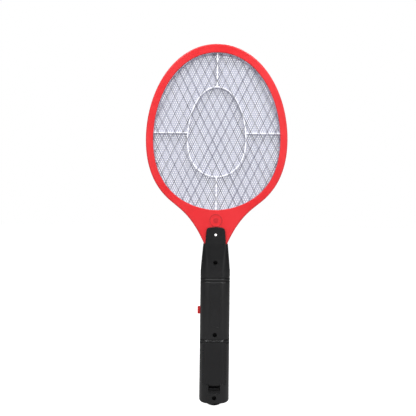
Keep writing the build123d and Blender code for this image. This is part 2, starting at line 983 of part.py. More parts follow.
def electronics():
    parts["circuit_board"] = circuit_board()
    parts["board_screws"] = Compound(children=[board_screw(*place) for place in post_places])
    core, coil = transformer()
    parts["transformer_core"] = core
    parts["transformer_winding"] = coil
    parts["high_voltage_capacitor"] = capacitor()
    parts["transistor"] = transistor()
    diodes = [axial_part(*place, diode_radius, diode_length) for place in diode_places]
    parts["rectifier_diodes"] = Compound(children=diodes)
    resistors = [axial_part(*place, resistor_radius, resistor_length) for place in resistor_places]
    parts["resistors"] = Compound(children=resistors)


# Lamp and leads --------------------------------------------------------------


def indicator_lamp():
    """A round-nosed lamp that looks out through the tongue, built facing +Y."""
    tip = tongue_half_depth + lamp_proud
    body = rod_y(0, lamp_height, lamp_radius, tip - lamp_length, tip)
    body = fillet(body.edges().sort_by(Axis.Y)[-1:], lamp_radius * lamp_nose_share)
    low = tip - lamp_length
    return to_rear(body + rod_y(0, lamp_height, lamp_flange_radius, low - lamp_flange, low))


def lead(points, radius):
    """A lead that is straight between its points and rounded at them."""
    path = FilletPolyline(*points, radius=lead_bend)
    profile = Plane(path @ 0, z_dir=path % 0) * Circle(radius)
    return sweep(profile, path=path)


def above_neck_boss():
    """Where the leads have drawn together above the neck's screw boss."""
    return screw_heights[2] + 3 * boss_radius


def center_grid_lead():
    side = stub_half_width - neck_wall - 5 * lead_radius
    grid_end = seat_bottom - grid_tab_length
    on_board = board_back - lead_radius
    route = [(0, 0, grid_end), (0, 0, grid_end - lead_run)]
    route += [(side, hot_lead_depth, above_neck_boss() + lead_splay)]
    route += [(side, hot_lead_depth, stub_low - cut)]
    route += [(side, on_board, board_high - 2 * lead_board_end)]
    return lead(route, lead_radius)


def outer_grid_lead(sign):
    """The lead of the front outer grid for sign 1, of the rear one for -1."""
    side = sign * (stub_half_width - neck_wall - 2 * lead_radius)
    across = sign * outer_tab_offset
    tab_face = sign * (outer_grid_back - lead_radius)
    depth = sign * outer_lead_depth
    grid_end = seat_bottom - grid_tab_length
    on_board = board_back - lead_radius
    route = [(across, tab_face, grid_end + lead_board_end)]
    route += [(across, tab_face, grid_end - lead_run)]
    narrows = seat_bottom - seat_wall - cavity_height
    route += [(side, depth, narrows), (side, depth, stub_low - cut)]
    route += [(side, on_board, board_high - 2 * lead_board_end)]
    return lead(route, lead_radius)


def battery_lead(sign):
    """The lead of the negative plate for sign 1, of the positive one for -1."""
    depth = board_back - lead_hole_radius
    on_board = board_back - lead_radius
    route = [(sign * lead_offset, depth, bay_top), (sign * lead_offset, depth, board_low - cut)]
    route += [(sign * lead_offset, on_board, board_low + lead_run)]
    return lead(route, lead_radius)


def lamp_lead(sign):
    """A bare wire from the lamp, round the screw boss and down to the board."""
    spread = sign * lamp_lead_spread
    beside_boss = sign * (boss_radius + lamp_lead_depth)
    boss_top = above_neck_boss()
    lamp_back = tongue_half_depth + lamp_proud - lamp_length - lamp_flange
    route = [(spread, -lamp_back, lamp_height), (spread, -lamp_lead_depth, lamp_height)]
    route += [(spread, -lamp_lead_depth, boss_top + 2 * lead_run)]
    route += [(beside_boss, -lamp_lead_depth, boss_top)]
    route += [(beside_boss, -lamp_lead_depth, stub_low - cut)]
    route += [(beside_boss, board_back - lamp_lead_radius, board_high - lead_board_end)]
    path = FilletPolyline(*route, radius=lamp_lead_bend)
    return sweep(Plane(path @ 0, z_dir=path % 0) * Circle(lamp_lead_radius), path=path)


def leads():
    parts["lead_center_grid"] = center_grid_lead()
    parts["lead_outer_grid_front"] = outer_grid_lead(1)
    parts["lead_outer_grid_rear"] = outer_grid_lead(-1)
    parts["lead_battery_positive"] = battery_lead(-1)
    parts["lead_battery_negative"] = battery_lead(1)
    parts["lamp_leads"] = Compound(children=[lamp_lead(-1), lamp_lead(1)])


def main():
    head_frames()
    grids()
    spacers()
    handle_shells()
    case_screws()
    parts["battery_door"] = battery_door()
    batteries()
    controls()
    electronics()
    parts["indicator_lamp"] = indicator_lamp()
    leads()
    os.makedirs("parts", exist_ok=True)
    for name, shape in parts.items():
        export_step(shape, f"parts/{name}.step")


main()
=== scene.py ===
from math import pi, radians, sqrt

import bmesh
import bpy
from mathutils import Matrix, Vector


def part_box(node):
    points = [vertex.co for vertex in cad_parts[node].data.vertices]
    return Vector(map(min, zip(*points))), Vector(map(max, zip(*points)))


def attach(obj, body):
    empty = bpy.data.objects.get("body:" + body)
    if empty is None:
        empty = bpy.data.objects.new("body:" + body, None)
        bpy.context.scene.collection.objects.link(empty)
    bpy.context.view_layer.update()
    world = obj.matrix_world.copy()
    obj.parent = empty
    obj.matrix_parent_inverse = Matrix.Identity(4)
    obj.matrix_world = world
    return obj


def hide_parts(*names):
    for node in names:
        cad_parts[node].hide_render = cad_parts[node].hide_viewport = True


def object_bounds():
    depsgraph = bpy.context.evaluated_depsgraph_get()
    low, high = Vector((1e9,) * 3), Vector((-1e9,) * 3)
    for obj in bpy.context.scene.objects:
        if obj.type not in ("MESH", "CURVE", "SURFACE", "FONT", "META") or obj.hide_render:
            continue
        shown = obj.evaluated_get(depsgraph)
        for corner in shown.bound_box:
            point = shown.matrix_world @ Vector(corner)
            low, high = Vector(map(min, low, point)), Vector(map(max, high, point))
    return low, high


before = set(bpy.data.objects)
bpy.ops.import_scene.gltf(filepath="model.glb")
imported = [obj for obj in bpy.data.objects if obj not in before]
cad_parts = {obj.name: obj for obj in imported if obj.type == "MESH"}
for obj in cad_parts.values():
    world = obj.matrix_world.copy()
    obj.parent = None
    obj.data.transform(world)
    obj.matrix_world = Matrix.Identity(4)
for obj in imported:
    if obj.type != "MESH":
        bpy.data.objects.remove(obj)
cad_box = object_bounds()

# Sizes in metres. The seat is the egg-shaped ledge in the head that clamps the three grids.
seat_low, seat_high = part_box("grid_spacer_rear")
seat_half_width = seat_high.x
widest_share = 0.4493
widest_height = seat_low.z + widest_share * (seat_high.z - seat_low.z)
upper_fullness = (0.61, 0.51)
lower_fullness = (0.23, 0.88)
trim_cuts_per_quarter = 14

outer_mesh = {"cell": (0.0107, 0.0215), "strand": 0.00048, "metal": 0.00030, "twist": 0.00020}
center_mesh = {"cell": (0.0028, 0.0056), "strand": 0.00122, "metal": 0.00030, "twist": 0.00008}
tab_width = 0.006
tab_offset = 0.011
tab_overlap = 0.0015
tab_bevel = 0.0001
floor_gap = 0.0002

object_height = cad_box[1].z - cad_box[0].z
head_half_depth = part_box("head_frame_front")[1].y
groove_pairs = (0.08215, 0.15915)
groove_pitch = 0.004
ring_grooves = [pair + step for pair in groove_pairs for step in (0.0, groove_pitch)]
lip_width = 0.0013
lip_drop = 0.0009

# Camera
eye_side = -0.0101
eye_distance = 0.640
eye_share = 0.547
eye_roll = radians(-0.62)
eye_lens = 43.27

# Colours, as linear red, green and blue
SIGNAL_RED = (0.60, 0.016, 0.021, 1)
DEEP_RED = (0.55, 0.010, 0.014, 1)
PALE_RED = (0.74, 0.055, 0.060, 1)
STAMPED_RED = (0.42, 0.010, 0.014, 1)
CARBON_BLACK = (0.0042, 0.0042, 0.0046, 1)
WORN_BLACK = (0.020, 0.020, 0.021, 1)
DUST_GREY = (0.34, 0.33, 0.31, 1)
# Painted shade: the outer grids' strands are coloured dark to stand in for their shadowed sides.
SHADOWED_ZINC = (0.13, 0.13, 0.16, 1)
PALE_ZINC = (0.55, 0.56, 0.68, 1)
MILK_WHITE = (0.76, 0.77, 0.84, 1)
CREAM = (0.68, 0.68, 0.74, 1)
# Painted shade: the screws are near-black to stand in for the dark of their deep recesses.
SCREW_SHADE_BLACK = (0.018, 0.018, 0.019, 1)
BRIGHT_STEEL = (0.62, 0.62, 0.64, 1)
NICKEL = (0.56, 0.53, 0.48, 1)
SLEEVE_BLUE = (0.012, 0.045, 0.19, 1)
SLEEVE_SILVER = (0.55, 0.56, 0.58, 1)
BOARD_TAN = (0.33, 0.19, 0.075, 1)
TRACK_COPPER = (0.62, 0.29, 0.13, 1)
FERRITE_GREY = (0.030, 0.029, 0.030, 1)
WIRE_COPPER = (0.72, 0.25, 0.075, 1)
FILM_GREEN = (0.020, 0.16, 0.065, 1)
BODY_TAN = (0.60, 0.42, 0.22, 1)
TIN = (0.70, 0.70, 0.72, 1)


# Node helpers ------------------------------------------------------------------


def put(tree, socket, value):
    """A socket takes a value, or a link from another node's output."""
    if isinstance(value, bpy.types.NodeSocket):
        tree.links.new(value, socket)
    else:
        socket.default_value = value


def add(tree, kind, values=(), **settings):
    """A node with its settings, and its sockets' values or links by name or number."""
    node = tree.nodes.new(kind)
    for name, setting in settings.items():
        setattr(node, name, setting)
    for socket, value in dict(values).items():
        put(tree, node.inputs[socket], value)
    return node


def maths(tree, operation, *values, clamp=False):
    node = add(tree, "ShaderNodeMath", enumerate(values), operation=operation, use_clamp=clamp)
    return node.outputs[0]


def ramp(tree, value, low, high, to_low=0.0, to_high=1.0):
    """Value mapped from low..high to to_low..to_high with soft ends."""
    values = {"Value": value, "From Min": low, "From Max": high, "To Min": to_low, "To Max": to_high}
    node = add(tree, "ShaderNodeMapRange", values, interpolation_type="SMOOTHSTEP")
    return node.outputs["Result"]


def blend(tree, share, first, second):
    """The colour that goes from first to second as share goes from 0 to 1."""
    node = add(tree, "ShaderNodeMix", data_type="RGBA")
    put(tree, node.inputs[0], share)
    put(tree, node.inputs[6], first)
    put(tree, node.inputs[7], second)
    return node.outputs[2]


def noise(tree, place, scale, detail=2.0, roughness=0.5):
    values = {"Vector": place, "Scale": scale, "Detail": detail, "Roughness": roughness}
    return add(tree, "ShaderNodeTexNoise", values).outputs["Fac"]


def stretched(tree, place, scale, turn=(0, 0, 0)):
    values = {"Vector": place, "Scale": scale, "Rotation": turn}
    return add(tree, "ShaderNodeMapping", values).outputs["Vector"]


def bump(tree, height, distance, strength=1.0, normal=None):
    values = {"Height": height, "Distance": distance, "Strength": strength}
    if normal is not None:
        values["Normal"] = normal
    return add(tree, "ShaderNodeBump", values).outputs["Normal"]


def effect(name, inputs, outputs):
    """An empty shader node group with named sockets, and its two end nodes."""
    tree = bpy.data.node_groups.new(name, "ShaderNodeTree")
    for label, kind in inputs.items():
        tree.interface.new_socket(label, in_out="INPUT", socket_type=kind)
    for label, kind in outputs.items():
        tree.interface.new_socket(label, in_out="OUTPUT", socket_type=kind)
    return tree, tree.nodes.new("NodeGroupInput").outputs, tree.nodes.new("NodeGroupOutput").inputs


FLOAT = "NodeSocketFloat"
VECTOR = "NodeSocketVector"


def use(tree, group, **values):
    """A shared effect placed in a material, with that material's own values."""
    node = add(tree, "ShaderNodeGroup", node_tree=group)
    for name, value in values.items():
        put(tree, node.inputs[name.replace("_", " ").title()], value)
    return node.outputs


# Shared effects ----------------------------------------------------------------


def moulded_grain_effect():
    """The fine spark-eroded grain that a steel mould leaves on plastic."""
    tree, given, result = effect(
        "moulded_grain", {"Place": VECTOR, "Scale": FLOAT}, {"Height": FLOAT, "Tone": FLOAT}
    )
    fine = noise(tree, given["Place"], given["Scale"], 3.0, 0.6)
    values = {"Vector": given["Place"], "Scale": given["Scale"]}
    pits = add(tree, "ShaderNodeTexVoronoi", values, feature="SMOOTH_F1").outputs["Distance"]
    mixed = maths(tree, "MULTIPLY_ADD", pits, 0.6, fine)
    put(tree, result["Height"], mixed)
    broad = noise(tree, given["Place"], 22.0, 3.0, 0.55)
    put(tree, result["Tone"], ramp(tree, broad, 0.3, 0.7))
    return tree


def edge_wear_effect():
    """Where a corner has been rubbed: the shading normal of a rounded corner leaves the flat one."""
    tree, given, result = effect(
        "edge_wear", {"Place": VECTOR, "Radius": FLOAT}, {"Mask": FLOAT, "Normal": VECTOR}
    )
    rounded = add(tree, "ShaderNodeBevel", {"Radius": given["Radius"]}, samples=6).outputs["Normal"]
    flat = add(tree, "ShaderNodeNewGeometry").outputs["Normal"]
    facing = add(tree, "ShaderNodeVectorMath", {0: rounded, 1: flat}, operation="DOT_PRODUCT")
    corner = ramp(tree, facing.outputs["Value"], 0.995, 0.86)
    patches = ramp(tree, noise(tree, given["Place"], 260.0, 4.0, 0.65), 0.42, 0.62)
    put(tree, result["Mask"], maths(tree, "MULTIPLY", corner, patches))
    put(tree, result["Normal"], rounded)
    return tree


def handling_scuffs_effect():
    """Short hairline scratches that cross each other, and duller palm-rubbed patches."""
    tree, given, result = effect("handling_scuffs", {"Place": VECTOR}, {"Scratch": FLOAT, "Rub": FLOAT})
    total = None
    for turn, stretch in ((0.5, (60, 60, 1800)), (1.3, (1900, 80, 70)), (2.4, (90, 1700, 90))):
        line = noise(tree, stretched(tree, given["Place"], stretch, (turn, turn / 2, turn)), 1.0, 1.0)
        mark = ramp(tree, line, 0.70, 0.76)
        total = mark if total is None else maths(tree, "MAXIMUM", total, mark)
    some = ramp(tree, noise(tree, given["Place"], 45.0), 0.45, 0.65)
    put(tree, result["Scratch"], maths(tree, "MULTIPLY", total, some))
    put(tree, result["Rub"], ramp(tree, noise(tree, given["Place"], 14.0, 4.0, 0.6), 0.35, 0.68))
    return tree


def crevice_dust_effect():
    """Pale dust that gathers in corners and grooves, broken up by noise."""
    tree, given, result = effect("crevice_dust", {"Place": VECTOR, "Reach": FLOAT}, {"Mask": FLOAT})
    open_sky = add(tree, "ShaderNodeAmbientOcclusion", {"Distance": given["Reach"]}, samples=6)
    tight = ramp(tree, open_sky.outputs["AO"], 0.75, 0.25)
    broken = ramp(tree, noise(tree, given["Place"], 900.0, 5.0, 0.7), 0.40, 0.70)
    put(tree, result["Mask"], maths(tree, "MULTIPLY", tight, broken))
    return tree


def parting_line_effect():
    """The hairline where two moulded halves meet, at y = 0."""
    tree, given, result = effect("parting_line", {"Place": VECTOR, "Width": FLOAT}, {"Mask": FLOAT})
    across = add(tree, "ShaderNodeSeparateXYZ", {0: given["Place"]}).outputs["Y"]
    away = maths(tree, "DIVIDE", maths(tree, "ABSOLUTE", across), given["Width"])
    put(tree, result["Mask"], ramp(tree, away, 1.0, 0.5))
    return tree


def ring_lips_effect():
    """The rounded lower lip of each ring groove, as the height lost towards the groove."""
    tree, given, result = effect("ring_lips", {"Place": VECTOR}, {"Height": FLOAT})
    up = add(tree, "ShaderNodeSeparateXYZ", {0: given["Place"]}).outputs["Z"]
    lost = 0.0
    for low in ring_grooves:
        near = ramp(tree, up, low - lip_width, low)
        lost = maths(tree, "MULTIPLY_ADD", near, maths(tree, "LESS_THAN", up, low), lost)
    put(tree, result["Height"], maths(tree, "MULTIPLY", lost, -1.0))
    return tree


def drawn_metal_effect():
    """Fine lines along the rolling direction, with faint cloudy tarnish."""
    tree, given, result = effect("drawn_metal", {"Place": VECTOR}, {"Line": FLOAT, "Tarnish": FLOAT})
    lines = noise(tree, stretched(tree, given["Place"], (2600, 2600, 120)), 1.0, 3.0, 0.6)
    put(tree, result["Line"], lines)
    put(tree, result["Tarnish"], ramp(tree, noise(tree, given["Place"], 70.0, 5.0, 0.65), 0.35, 0.7))
    return tree


GRAIN = moulded_grain_effect()
WEAR = edge_wear_effect()
SCUFFS = handling_scuffs_effect()
DUST = crevice_dust_effect()
PARTING = parting_line_effect()
LIPS = ring_lips_effect()
DRAWN = drawn_metal_effect()


# Materials ---------------------------------------------------------------------


def new_finish(name):
    """A material's node tree, its Principled BSDF and the piece's own coordinates."""
    material = bpy.data.materials.new(name)
    material.use_nodes = True
    tree = material.node_tree
    surface = tree.nodes["Principled BSDF"]
    place = add(tree, "ShaderNodeTexCoord").outputs["Object"]
    return material, tree, surface, place


def raised_above_head(tree, place):
    """1 on what stands proud of the head's two faces, which is the emblem."""
    across = add(tree, "ShaderNodeSeparateXYZ", {0: place}).outputs["Y"]
    face = head_half_depth + 0.0001
    return ramp(tree, maths(tree, "ABSOLUTE", across), face, face + 0.0001)


def moulded_plastic(
    name, colour, deep, worn, roughness, grain=2200.0, grain_height=0.00003, specular=0.5,
    corner=0.0003, seam=0.0, dust=0.5, stamped=None, lips=False,
):
    """Injection-moulded plastic: grain, mottled tone, rubbed corners, scuffs and corner dust."""
    material, tree, surface, place = new_finish(name)
    texture = use(tree, GRAIN, place=place, scale=grain)
    corners = use(tree, WEAR, place=place, radius=corner)
    marks = use(tree, SCUFFS, place=place)
    dirt = use(tree, DUST, place=place, reach=0.0025)
    tone = blend(tree, texture["Tone"], colour, deep)
    rubbed = maths(tree, "MULTIPLY", corners["Mask"], 0.45)
    tone = blend(tree, rubbed, tone, worn)
    tone = blend(tree, maths(tree, "MULTIPLY", marks["Scratch"], 0.18), tone, worn)
    tone = blend(tree, maths(tree, "MULTIPLY", dirt["Mask"], dust * 0.2), tone, DUST_GREY)
    shine = ramp(tree, marks["Rub"], 0.0, 1.0, roughness - 0.05, roughness + 0.07)
    shine = maths(tree, "MULTIPLY_ADD", marks["Scratch"], 0.15, shine)
    height = texture["Height"]
    if stamped:
        tone = blend(tree, raised_above_head(tree, place), tone, stamped)
    if seam:
        line = use(tree, PARTING, place=place, width=seam)["Mask"]
        tone = blend(tree, line, tone, [c * 0.25 for c in colour[:3]] + [1])
        height = maths(tree, "MULTIPLY_ADD", line, -8.0, height)
    normal = corners["Normal"]
    if lips:
        rounded = use(tree, LIPS, place=place)["Height"]
        normal = bump(tree, rounded, lip_drop, 1.0, normal)
    put(tree, surface.inputs["Base Color"], tone)
    put(tree, surface.inputs["Roughness"], shine)
    put(tree, surface.inputs["Normal"], bump(tree, height, grain_height, 0.6, normal))
    surface.inputs["Specular IOR Level"].default_value = specular
    return material


def metal(name, colour, tarnish, roughness, corner=0.0001, line_height=0.00001, bare=1.0):
    """Drawn or rolled metal: fine lines, cloudy tarnish and softened corners."""
    material, tree, surface, place = new_finish(name)
    rolled = use(tree, DRAWN, place=place)
    corners = use(tree, WEAR, place=place, radius=corner)
    tone = blend(tree, rolled["Tarnish"], colour, tarnish)
    in_lines = [c * 0.6 for c in colour[:3]] + [1]
    tone = blend(tree, maths(tree, "MULTIPLY", rolled["Line"], 0.3), tone, in_lines)
    shine = ramp(tree, rolled["Tarnish"], 0.0, 1.0, roughness, roughness + 0.15)
    put(tree, surface.inputs["Base Color"], tone)
    put(tree, surface.inputs["Roughness"], maths(tree, "MULTIPLY_ADD", rolled["Line"], 0.1, shine))
    put(tree, surface.inputs["Normal"], bump(tree, rolled["Line"], line_height, 0.5, corners["Normal"]))
    surface.inputs["Metallic"].default_value = bare
    return material


def red_frame_plastic():
    return moulded_plastic(
        "red_frame_plastic", SIGNAL_RED, DEEP_RED, PALE_RED, 0.38, 1700.0, 0.00002,
        specular=0.5, corner=0.0004, seam=0.00016, dust=0.3, stamped=STAMPED_RED,
    )


def black_handle_plastic():
    return moulded_plastic(
        "black_handle_plastic", CARBON_BLACK, (0.0060, 0.0060, 0.0065, 1), WORN_BLACK, 0.34,
        2400.0, 0.00003, specular=0.40, corner=0.0005, seam=0.00014, dust=0.1, lips=True,
    )


def black_door_plastic():
    return moulded_plastic(
        "black_door_plastic", CARBON_BLACK, (0.006, 0.006, 0.0065, 1), WORN_BLACK, 0.36,
        2400.0, 0.00003, specular=0.36, corner=0.0003, dust=0.1,
    )


def red_button_plastic():
    return moulded_plastic(
        "red_button_plastic", (0.62, 0.010, 0.012, 1), (0.50, 0.006, 0.008, 1), PALE_RED, 0.33,
        2600.0, 0.00002, corner=0.0004,
    )


def white_spacer_plastic():
    return moulded_plastic(
        "white_spacer_plastic", MILK_WHITE, CREAM, (0.93, 0.93, 0.95, 1), 0.40, 2600.0, 0.00001,
        corner=0.0002, dust=0.3,
    )


def dark_switch_plastic():
    return moulded_plastic(
        "dark_switch_plastic", (0.012, 0.012, 0.013, 1), (0.02, 0.02, 0.021, 1), WORN_BLACK, 0.40,
        3000.0, 0.00001,
    )


def plunger_plastic():
    return moulded_plastic(
        "plunger_plastic", (0.03, 0.03, 0.032, 1), (0.02, 0.02, 0.022, 1), WORN_BLACK, 0.30,
        3000.0, 0.00001,
    )


def wire_insulation(name, colour, deep, pale):
    return moulded_plastic(name, colour, deep, pale, 0.36, 1500.0, 0.00002, corner=0.0001)


def outer_grid_metal():
    # The dark zinc and the darker tarnish are painted shade, standing in for the strands' shadowed sides.
    return metal("outer_grid_metal", SHADOWED_ZINC, (0.08, 0.08, 0.10, 1), 0.34, bare=0.5)


def center_grid_metal():
    return metal("center_grid_metal", PALE_ZINC, (0.48, 0.49, 0.60, 1), 0.38, bare=0.3)


def screw_metal():
    # The near-black colour and tarnish are painted shade, standing in for the dark of the screw recesses.
    return metal("screw_metal", SCREW_SHADE_BLACK, (0.030, 0.030, 0.031, 1), 0.45)


def spring_metal():
    return metal("spring_metal", BRIGHT_STEEL, (0.45, 0.45, 0.46, 1), 0.25)


def contact_metal():
    return metal("contact_metal", NICKEL, (0.42, 0.40, 0.36, 1), 0.30)


def tinned_metal():
    return metal("tinned_metal", TIN, (0.5, 0.5, 0.52, 1), 0.32)


def height_of(tree, place):
    return add(tree, "ShaderNodeSeparateXYZ", {0: place}).outputs["Z"]


def bare_can_ends(tree, place):
    """1 on the can's two ends and the bare ring beside them, 0 on its sleeve."""
    low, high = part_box("battery_cell_left")
    up = height_of(tree, place)
    lower = ramp(tree, up, low.z + 0.0022, low.z + 0.0020)
    upper = ramp(tree, up, high.z - 0.0024, high.z - 0.0022)
    return maths(tree, "MAXIMUM", lower, upper)


def battery_sleeve():
    """A shrink sleeve in two plain colours with a pinstripe, between bare steel ends."""
    material, tree, surface, place = new_finish("battery_sleeve")
    low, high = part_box("battery_cell_left")
    up = height_of(tree, place)
    band = low.z + 0.68 * (high.z - low.z)
    tone = blend(tree, ramp(tree, up, band, band + 0.0001), SLEEVE_BLUE, SLEEVE_SILVER)
    off_stripe = maths(tree, "ABSOLUTE", maths(tree, "SUBTRACT", up, band - 0.002))
    tone = blend(tree, ramp(tree, off_stripe, 0.0006, 0.0005), tone, SLEEVE_SILVER)
    bare = bare_can_ends(tree, place)
    tone = blend(tree, bare, tone, BRIGHT_STEEL)
    marks = use(tree, SCUFFS, place=place)
    tone = blend(tree, maths(tree, "MULTIPLY", marks["Scratch"], 0.25), tone, SLEEVE_SILVER)
    wrinkles = noise(tree, stretched(tree, place, (700, 700, 160)), 1.0, 2.0)
    put(tree, surface.inputs["Base Color"], tone)
    put(tree, surface.inputs["Metallic"], bare)
    put(tree, surface.inputs["Roughness"], ramp(tree, marks["Rub"], 0.0, 1.0, 0.22, 0.38))
    put(tree, surface.inputs["Normal"], bump(tree, wrinkles, 0.00004, 0.4))
    surface.inputs["Coat Weight"].default_value = 0.4
    return material


def board_laminate():
    """Paper laminate with a faint weave and tinned tracks."""
    material, tree, surface, place = new_finish("board_laminate")
    values = {"Vector": place, "Scale": 900.0, "Distortion": 0.6}
    weave = add(tree, "ShaderNodeTexWave", values, bands_direction="X").outputs["Fac"]
    across = add(tree, "ShaderNodeTexWave", values, bands_direction="Z").outputs["Fac"]
    cloth = maths(tree, "MULTIPLY", weave, across)
    tone = blend(tree, maths(tree, "MULTIPLY", cloth, 0.35), BOARD_TAN, (0.22, 0.12, 0.045, 1))
    values = {"Vector": stretched(tree, place, (230, 1, 120)), "Scale": 1.0}
    runs = add(tree, "ShaderNodeTexVoronoi", values, feature="DISTANCE_TO_EDGE").outputs["Distance"]
    track = ramp(tree, runs, 0.16, 0.12)
    tone = blend(tree, maths(tree, "MULTIPLY", track, 0.8), tone, TRACK_COPPER)
    put(tree, surface.inputs["Base Color"], tone)
    put(tree, surface.inputs["Roughness"], ramp(tree, track, 0.0, 1.0, 0.55, 0.3))
    height = maths(tree, "MULTIPLY_ADD", cloth, 0.3, track)
    put(tree, surface.inputs["Normal"], bump(tree, height, 0.00004, 0.5))
    return material


def ferrite():
    """Pressed and fired ferrite: dull charcoal with pits."""
    material, tree, surface, place = new_finish("ferrite")
    texture = use(tree, GRAIN, place=place, scale=2400.0)
    corners = use(tree, WEAR, place=place, radius=0.0003)
    tone = blend(tree, texture["Tone"], FERRITE_GREY, (0.045, 0.042, 0.040, 1))
    tone = blend(tree, corners["Mask"], tone, (0.12, 0.11, 0.11, 1))
    put(tree, surface.inputs["Base Color"], tone)
    put(tree, surface.inputs["Roughness"], ramp(tree, texture["Height"], 0.3, 1.0, 0.5, 0.75))
    put(tree, surface.inputs["Normal"], bump(tree, texture["Height"], 0.00005, 0.8, corners["Normal"]))
    return material


def wound_copper():
    """Enamelled copper wire wound in level turns, with painted shade where the turns dip."""
    material, tree, surface, place = new_finish("wound_copper")
    values = {"Vector": place, "Scale": 1900.0, "Distortion": 0.8, "Detail": 1.0}
    turns = add(tree, "ShaderNodeTexWave", values, bands_direction="Z").outputs["Fac"]
    # Painted shade: the copper is darker where the turns dip, following the same waves as the bump.
    tone = blend(tree, turns, (0.30, 0.085, 0.025, 1), WIRE_COPPER)
    put(tree, surface.inputs["Base Color"], tone)
    put(tree, surface.inputs["Roughness"], ramp(tree, turns, 0.0, 1.0, 0.5, 0.25))
    put(tree, surface.inputs["Normal"], bump(tree, turns, 0.0001, 1.0))
    surface.inputs["Metallic"].default_value = 0.8
    surface.inputs["Coat Weight"].default_value = 0.5
    return material


def dipped_film(name, colour, deep):
    """The glossy, slightly lumpy coat of a dipped part."""
    material, tree, surface, place = new_finish(name)
    lumps = noise(tree, place, 320.0, 2.0)
    texture = use(tree, GRAIN, place=place, scale=2800.0)
    put(tree, surface.inputs["Base Color"], blend(tree, lumps, colour, deep))
    put(tree, surface.inputs["Roughness"], ramp(tree, texture["Tone"], 0.0, 1.0, 0.20, 0.34))
    put(tree, surface.inputs["Normal"], bump(tree, lumps, 0.0003, 0.6))
    return material


def banded_body(name, colour, deep, stripes, node):
    """A diode or resistor body with plain bands round it, and tinned leads."""
    material, tree, surface, place = new_finish(name)
    low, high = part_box(node)
    across = add(tree, "ShaderNodeSeparateXYZ", {0: place}).outputs["X"]
    tone = blend(tree, noise(tree, place, 1200.0), colour, deep)
    for share, half, stripe in stripes:
        middle = low.x + share * (high.x - low.x)
        away = maths(tree, "ABSOLUTE", maths(tree, "SUBTRACT", across, middle))
        tone = blend(tree, ramp(tree, away, half, half * 0.8), tone, stripe)
    quarter = (high.x - low.x) / 4
    off_middle = maths(tree, "ABSOLUTE", maths(tree, "SUBTRACT", across, (low.x + high.x) / 2))
    lead = ramp(tree, off_middle, quarter + 0.0004, quarter + 0.0006)
    put(tree, surface.inputs["Base Color"], blend(tree, lead, tone, TIN))
    put(tree, surface.inputs["Metallic"], lead)
    put(tree, surface.inputs["Roughness"], ramp(tree, noise(tree, place, 500.0), 0.3, 0.7, 0.24, 0.4))
    return material


def diode_body():
    stripes = [(0.66, 0.0004, (0.62, 0.62, 0.62, 1))]
    black, soft_black = (0.012, 0.012, 0.012, 1), (0.02, 0.02, 0.02, 1)
    return banded_body("diode_body", black, soft_black, stripes, "rectifier_diodes")


def resistor_body():
    brown, black, gold = (0.11, 0.035, 0.012, 1), (0.008, 0.008, 0.008, 1), (0.55, 0.36, 0.08, 1)
    places = (0.38, 0.46, 0.54, 0.63)
    stripes = [(share, 0.00025, stripe) for share, stripe in zip(places, (brown, black, brown, gold))]
    return banded_body("resistor_body", BODY_TAN, (0.50, 0.33, 0.16, 1), stripes, "resistors")


def lit_lamp():
    """The lamp's lens: clear resin with a bright core."""
    material, tree, surface, place = new_finish("lit_lamp")
    swirl = noise(tree, place, 900.0)
    resin = blend(tree, swirl, (0.95, 0.95, 0.93, 1), (0.86, 0.88, 0.88, 1))
    put(tree, surface.inputs["Base Color"], resin)
    put(tree, surface.inputs["Roughness"], ramp(tree, swirl, 0.3, 0.7, 0.08, 0.16))
    put(tree, surface.inputs["Emission Color"], blend(tree, swirl, (1, 1, 1, 1), (0.95, 0.97, 1.0, 1)))
    surface.inputs["Emission Strength"].default_value = 0.9
    surface.inputs["Coat Weight"].default_value = 0.5
    return material


# Grids -------------------------------------------------------------------------


def seat_outline():
    """Points on the seat's egg, right side from top to bottom, each with its outward direction."""
    rise = seat_high.z - widest_height
    drop = widest_height - seat_low.z
    side = seat_half_width
    corners = [
        [
            Vector((0, rise)),
            Vector((upper_fullness[0] * side, rise)),
            Vector((side, upper_fullness[1] * rise)),
            Vector((side, 0)),
        ],
        [
            Vector((side, 0)),
            Vector((side, -lower_fullness[1] * drop)),
            Vector((lower_fullness[0] * side, -drop)),
            Vector((0, -drop)),
        ],
    ]
    for a, b, c, d in corners:
        for step in range(trim_cuts_per_quarter):
            t = (step + 0.5) / trim_cuts_per_quarter
            u = 1 - t
            point = u**3 * a + 3 * u**2 * t * b + 3 * u * t**2 * c + t**3 * d
            along = u**2 * (b - a) + 2 * u * t * (c - b) + t**2 * (d - c)
            yield point, Vector((-along.y, along.x))


def trim_to_seat(bm):
    """Cuts away what lies outside the seat, one straight cut after another on both sides."""
    for point, outward in seat_outline():
        for side in (1, -1):
            co = Vector((side * point.x, 0, widest_height + point.y))
            no = Vector((side * outward.x, 0, outward.y))
            bmesh.ops.bisect_plane(
                bm, geom=bm.verts[:] + bm.edges[:] + bm.faces[:], plane_co=co, plane_no=no,
                clear_outer=True, dist=1e-6,
            )


def lattice(bm, cell):
    """A field of diamonds in the XZ plane, with one centred at the head's widest height."""
    reach = 1.3 * (seat_high.z - seat_low.z)
    count = 2 * int(reach / min(cell)) + 1
    bmesh.ops.create_grid(bm, x_segments=count, y_segments=count, size=count / 2)
    bmesh.ops.rotate(bm, verts=bm.verts, cent=(0, 0, 0), matrix=Matrix.Rotation(pi / 4, 3, "Z"))
    bmesh.ops.scale(bm, verts=bm.verts, vec=(cell[0] / sqrt(2), cell[1] / sqrt(2), 1))
    bmesh.ops.rotate(bm, verts=bm.verts, cent=(0, 0, 0), matrix=Matrix.Rotation(pi / 2, 3, "X"))
    bmesh.ops.translate(bm, verts=bm.verts, vec=(0, 0, widest_height))


